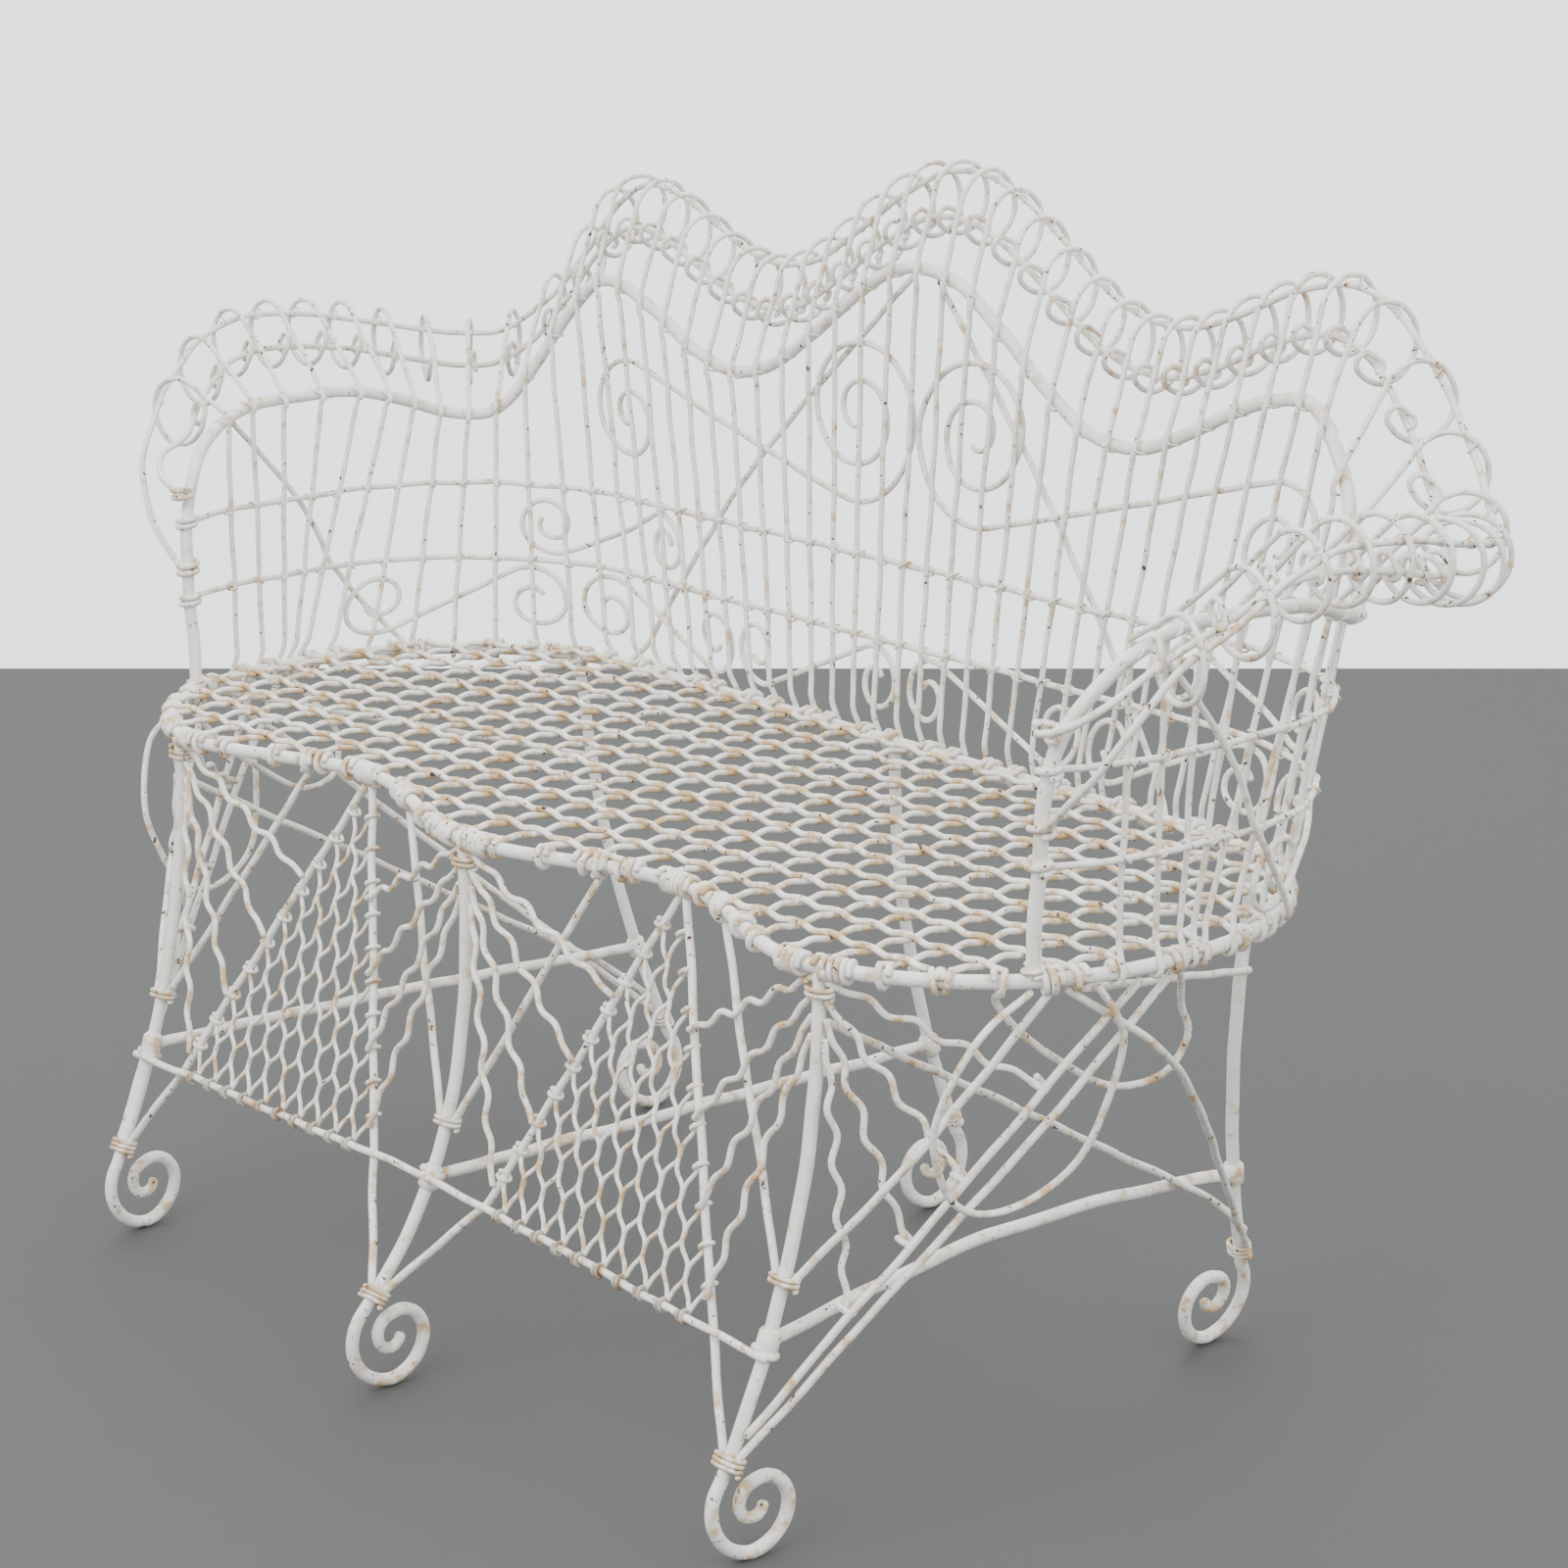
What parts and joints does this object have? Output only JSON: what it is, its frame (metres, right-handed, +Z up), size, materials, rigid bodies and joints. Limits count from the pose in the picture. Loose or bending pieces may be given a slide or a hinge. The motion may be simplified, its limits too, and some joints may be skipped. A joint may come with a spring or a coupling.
{
  "type": "wirework garden settee",
  "caption": "Garden settee of bent painted rod and wire with a woven seat, a crested back and arms rolled into rings, scroll feet and a mesh apron.",
  "frame": {"origin": "on the floor, in the middle of the overall box", "axes": "+X along the seat, to the right as seen from the front, +Y to the back, +Z up"},
  "size_m": [1.3598, 0.6689, 0.9185],
  "materials": {
    "painted_rod": "chipped satin cream paint over iron, rust at the feet",
    "painted_wire": "chipped satin cream paint over iron wire",
    "stained_seat_wire": "worn cream paint with rust stains at the crossings"
  },
  "bodies": {
    "root": {"back_spindles": "painted_wire", "crest_rod": "painted_rod", "crest_scrolls": "painted_wire", "front_braces": "painted_wire", "front_left_leg": "painted_rod", "front_lower_rail": "painted_wire", "front_middle_leg": "painted_rod", "front_right_leg": "painted_rod", "inner_frieze_scrolls": "painted_wire", "left_apron_edges": "painted_wire", "left_apron_falling_mesh": "painted_wire", "left_apron_rising_mesh": "painted_wire", "left_arm_spindles": "painted_wire", "left_arm_stay": "painted_wire", "left_back_stay": "painted_wire", "left_leg_fan": "painted_wire", "left_side_fan": "painted_wire", "left_side_hoops": "painted_wire", "left_side_stays": "painted_wire", "left_stretcher": "painted_rod", "leg_bindings": "painted_wire", "lower_rail": "painted_wire", "middle_frieze_scrolls": "painted_wire", "middle_leg_fan": "painted_wire", "middle_stretcher": "painted_rod", "outer_frieze_scrolls": "painted_wire", "rail_scrolls": "painted_wire", "rear_left_leg": "painted_rod", "rear_middle_leg": "painted_rod", "rear_right_leg": "painted_rod", "right_apron_edges": "painted_wire", "right_apron_falling_mesh": "painted_wire", "right_apron_rising_mesh": "painted_wire", "right_arm_spindles": "painted_wire", "right_arm_stay": "painted_wire", "right_back_stay": "painted_wire", "right_leg_fan": "painted_wire", "right_side_fan": "painted_wire", "right_side_hoops": "painted_wire", "right_side_stays": "painted_wire", "right_stretcher": "painted_rod", "roll_inner_wire": "painted_wire", "roll_outer_wire": "painted_wire", "seat_cross_wires": "stained_seat_wire", "seat_long_wires": "stained_seat_wire", "seat_rim": "painted_rod", "upper_rail": "painted_wire"}
  },
  "joints": []
}
